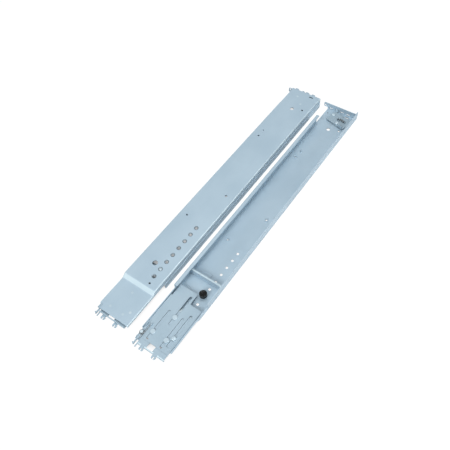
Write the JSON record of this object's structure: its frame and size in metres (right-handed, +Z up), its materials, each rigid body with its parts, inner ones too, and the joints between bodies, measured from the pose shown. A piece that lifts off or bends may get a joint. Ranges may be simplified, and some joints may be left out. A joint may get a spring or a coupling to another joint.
{
  "type": "rack rail pair",
  "caption": "Folded steel rack rails with sliding toothed brackets, sprung latches, thumbscrews and rows of countersunk holes, laid side by side.",
  "frame": {"origin": "middle of the row of open countersunk holes of the upturned rail, on the smooth face it lies on", "axes": "+X along the rails from the adjustable end to the fixed end, +Y from the upturned rail towards the overturned one, +Z up"},
  "size_m": [0.7395, 0.183, 0.0248],
  "materials": {
    "zinc_steel": "pale zinc plate",
    "bright_steel": "bright zinc plate",
    "spring_wire": "drawn wire",
    "black_plastic": "moulded grip"
  },
  "bodies": {
    "rails": {"right_channel": "zinc_steel", "right_slide_rivets": "bright_steel", "right_stop_screw": "bright_steel", "right_stop_washer": "bright_steel", "right_cross_brace": "zinc_steel", "right_thumbscrew_bush": "bright_steel", "right_far_latch_pivot": "bright_steel", "right_far_latch_guide": "bright_steel", "right_far_latch_spring": "spring_wire", "left_channel": "zinc_steel", "left_slide_rivets": "bright_steel", "left_stop_screw": "bright_steel", "left_stop_washer": "bright_steel", "left_cross_brace": "zinc_steel", "left_thumbscrew_bush": "bright_steel", "left_far_latch_pivot": "bright_steel", "left_far_latch_guide": "bright_steel", "left_far_latch_spring": "spring_wire"},
    "right_bracket": {"right_slide_bracket": "zinc_steel", "right_near_latch_pivot": "bright_steel", "right_near_latch_spring": "spring_wire"},
    "right_near_latch": {"right_near_latch_lever": "zinc_steel"},
    "right_far_latch": {"right_far_latch_lever": "zinc_steel"},
    "right_thumbscrew": {"right_thumbscrew_stud": "bright_steel", "right_thumbscrew_knob": "black_plastic"},
    "left_bracket": {"left_slide_bracket": "zinc_steel", "left_near_latch_pivot": "bright_steel", "left_near_latch_spring": "spring_wire"},
    "left_near_latch": {"left_near_latch_lever": "zinc_steel"},
    "left_far_latch": {"left_far_latch_lever": "zinc_steel"},
    "left_thumbscrew": {"left_thumbscrew_stud": "bright_steel", "left_thumbscrew_knob": "black_plastic"}
  },
  "joints": [
    {"name": "right_bracket_slide", "type": "slide", "parent": "rails", "child": "right_bracket", "axis": [1, 0, 0], "range_m": [-0.0475, 0.0147]},
    {"name": "right_near_latch_hinge", "type": "hinge", "parent": "right_bracket", "child": "right_near_latch", "pos_m": [-0.18923, 0.0465, 0.0113], "axis": [0, 0, 1], "range_deg": [0, 5], "stiffness_Nm_per_rad": 0.08, "springref_deg": -20.05, "deforming": ["right_near_latch_spring"]},
    {"name": "right_far_latch_hinge", "type": "hinge", "parent": "rails", "child": "right_far_latch", "pos_m": [0.49247, 0.0276, 0.0055], "axis": [0, 0, 1], "range_deg": [0, 4.5], "stiffness_Nm_per_rad": 0.25, "springref_deg": -11.46, "deforming": ["right_far_latch_spring"]},
    {"name": "right_thumbscrew_turn", "type": "hinge", "parent": "rails", "child": "right_thumbscrew", "pos_m": [-0.06667, 0, 0.009], "axis": [0, 0, 1], "continuous": true},
    {"name": "left_bracket_slide", "type": "slide", "parent": "rails", "child": "left_bracket", "axis": [1, 0, 0], "range_m": [-0.0603, 0.0019]},
    {"name": "left_near_latch_hinge", "type": "hinge", "parent": "left_bracket", "child": "left_near_latch", "pos_m": [-0.18313, 0.142, 0.0135], "axis": [0, 0, 1], "range_deg": [0, 5], "stiffness_Nm_per_rad": 0.08, "springref_deg": -20.05, "deforming": ["left_near_latch_spring"]},
    {"name": "left_far_latch_hinge", "type": "hinge", "parent": "rails", "child": "left_far_latch", "pos_m": [0.48578, 0.1231, 0.0193], "axis": [0, 0, 1], "range_deg": [0, 4.5], "stiffness_Nm_per_rad": 0.25, "springref_deg": -11.46, "deforming": ["left_far_latch_spring"]},
    {"name": "left_thumbscrew_turn", "type": "hinge", "parent": "rails", "child": "left_thumbscrew", "pos_m": [-0.07337, 0.0955, 0.0158], "axis": [0, 0, 1], "continuous": true}
  ]
}
